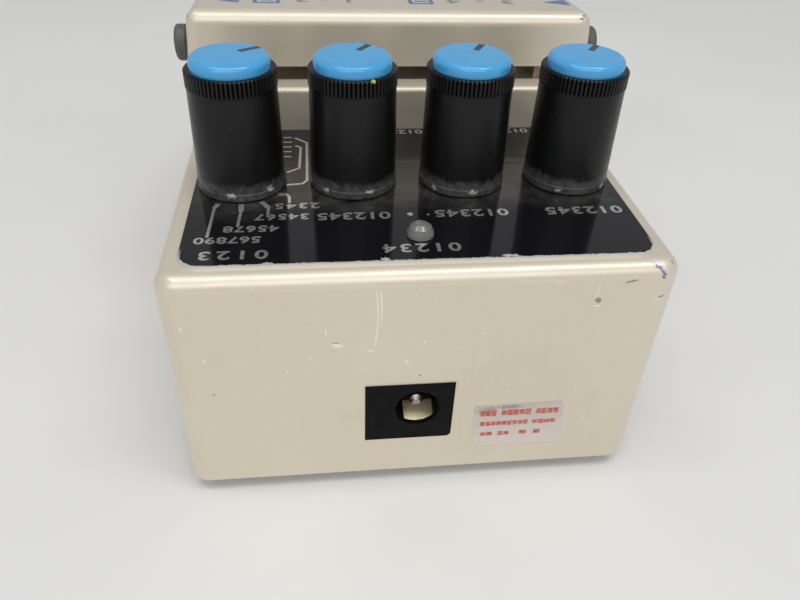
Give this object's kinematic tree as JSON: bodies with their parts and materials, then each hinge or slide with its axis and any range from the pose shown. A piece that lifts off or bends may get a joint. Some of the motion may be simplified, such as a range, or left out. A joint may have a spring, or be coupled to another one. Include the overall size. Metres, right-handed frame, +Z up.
{
  "type": "delay pedal",
  "caption": "Compact foot pedal for audio delay: cast casing, sprung treadle over a battery bay, rotary knobs with coloured caps, side audio jacks and a rear power socket.",
  "frame": {"origin": "on the floor plane, under the middle of the bounding box", "axes": "+Z up, -Y towards the side with the power socket, +Y towards the toe of the treadle, +X to the right seen from the power socket's side"},
  "size_m": [0.0742, 0.1326, 0.06],
  "materials": {
    "cream_paint": "pearl cream baked paint",
    "plated_steel": "zinc plated",
    "spring_steel": "bright wire",
    "black_rubber": "moulded matt",
    "grey_foam": "closed-cell foam",
    "name_plate": "black gloss over bare edge",
    "lamp_lens": "translucent grey",
    "socket_black": "moulded",
    "nickel": "nickel plated",
    "brass_contact": "gold-coloured spring contact",
    "brass_shaft": "turned",
    "black_nylon": "moulded nylon",
    "black_screw": "black oxide, knurled",
    "green_board": "solder mask",
    "chip_black": "epoxy",
    "can_sleeve": "shrink sleeve",
    "clear_film": "film",
    "battery_jacket": "plain printed jacket",
    "wire_red": "PVC wire, red and black",
    "knob_black": "satin black moulding",
    "cap_blue": "sky blue gloss",
    "pot_case": "pressed case"
  },
  "bodies": {
    "casing": {"casing": "cream_paint", "base_plate": "plated_steel", "base_mat": "black_rubber", "base_screws": "plated_steel", "name_plate": "name_plate", "mode_switch": "pot_case", "time_pot": "pot_case", "feedback_pot": "pot_case", "level_pot": "pot_case", "control_nuts": "plated_steel", "control_board": "green_board", "main_board": "green_board", "jack_board": "green_board", "board_chips": "chip_black", "board_capacitors": "can_sleeve", "board_header": "chip_black", "insulating_sheet": "clear_film", "board_spacers": "black_nylon", "indicator_lamp": "lamp_lens", "lamp_legs": "plated_steel", "power_socket": "socket_black", "power_pin": "nickel", "power_leaf": "brass_contact", "left_rear_jack": "socket_black", "left_front_jack": "socket_black", "right_rear_jack": "socket_black", "right_front_jack": "socket_black", "jack_tip_contacts": "brass_contact", "jack_sleeve_contacts": "brass_contact", "guide_bush": "black_nylon", "push_switch": "black_nylon", "battery": "battery_jacket", "battery_snaps": "nickel", "battery_foam": "grey_foam", "snap_connector": "black_nylon", "snap_lead": "wire_red"},
    "hinge_shaft": {"hinge_shaft": "plated_steel", "treadle_spring": "spring_steel"},
    "treadle": {"treadle": "cream_paint", "rubber_tread": "black_rubber", "left_hinge_bush": "black_nylon", "right_hinge_bush": "black_nylon"},
    "thumbscrew_washer": {"thumbscrew_washer": "black_nylon"},
    "thumbscrew": {"thumbscrew": "black_screw"},
    "switch_plunger": {"switch_plunger": "black_nylon", "switch_stem": "black_nylon"},
    "mode_knob": {"mode_knob": "knob_black", "mode_cap": "cap_blue", "mode_shaft": "brass_shaft"},
    "time_knob": {"time_knob": "knob_black", "time_cap": "cap_blue", "time_shaft": "brass_shaft"},
    "feedback_knob": {"feedback_knob": "knob_black", "feedback_cap": "cap_blue", "feedback_shaft": "brass_shaft"},
    "level_knob": {"level_knob": "knob_black", "level_cap": "cap_blue", "level_shaft": "brass_shaft"}
  },
  "joints": [
    {"name": "treadle_press", "type": "hinge", "parent": "casing", "child": "hinge_shaft", "pos_m": [0, -0.01185, 0.0522], "axis": [1, 0, 0], "range_deg": [-2.6, 0], "stiffness_Nm_per_rad": 0.456, "springref_deg": 29.39, "deforming": ["treadle_spring"]},
    {"name": "treadle_open", "type": "hinge", "parent": "hinge_shaft", "child": "treadle", "pos_m": [0, -0.01185, 0.0522], "axis": [1, 0, 0], "range_deg": [0, 70]},
    {"name": "thumbscrew_travel", "type": "slide", "parent": "treadle", "child": "thumbscrew_washer", "axis": [0, 1, 0], "range_m": [-0.003, 0]},
    {"name": "thumbscrew_turn", "type": "hinge", "parent": "thumbscrew_washer", "child": "thumbscrew", "pos_m": [0, 0.06235, 0.0165], "axis": [0, 1, 0], "range_deg": [-1545, 0]},
    {"name": "plunger_travel", "type": "slide", "parent": "casing", "child": "switch_plunger", "axis": [0, 0, 1], "range_m": [-0.00088, 0]},
    {"name": "mode_turn", "type": "hinge", "parent": "casing", "child": "mode_knob", "pos_m": [-0.025, -0.04125, 0.0411], "axis": [0, 0, -1], "range_deg": [-30, 270]},
    {"name": "time_turn", "type": "hinge", "parent": "casing", "child": "time_knob", "pos_m": [-0.00835, -0.04125, 0.0411], "axis": [0, 0, -1], "range_deg": [0, 300]},
    {"name": "feedback_turn", "type": "hinge", "parent": "casing", "child": "feedback_knob", "pos_m": [0.00835, -0.04125, 0.0411], "axis": [0, 0, -1], "range_deg": [0, 300]},
    {"name": "level_turn", "type": "hinge", "parent": "casing", "child": "level_knob", "pos_m": [0.025, -0.04125, 0.0411], "axis": [0, 0, -1], "range_deg": [0, 300]}
  ],
  "couplings": [
    {"joint": "treadle_press", "follows": "plunger_travel", "rad_per_m": 51.282},
    {"joint": "thumbscrew_turn", "follows": "thumbscrew_travel", "rad_per_m": 8976}
  ]
}
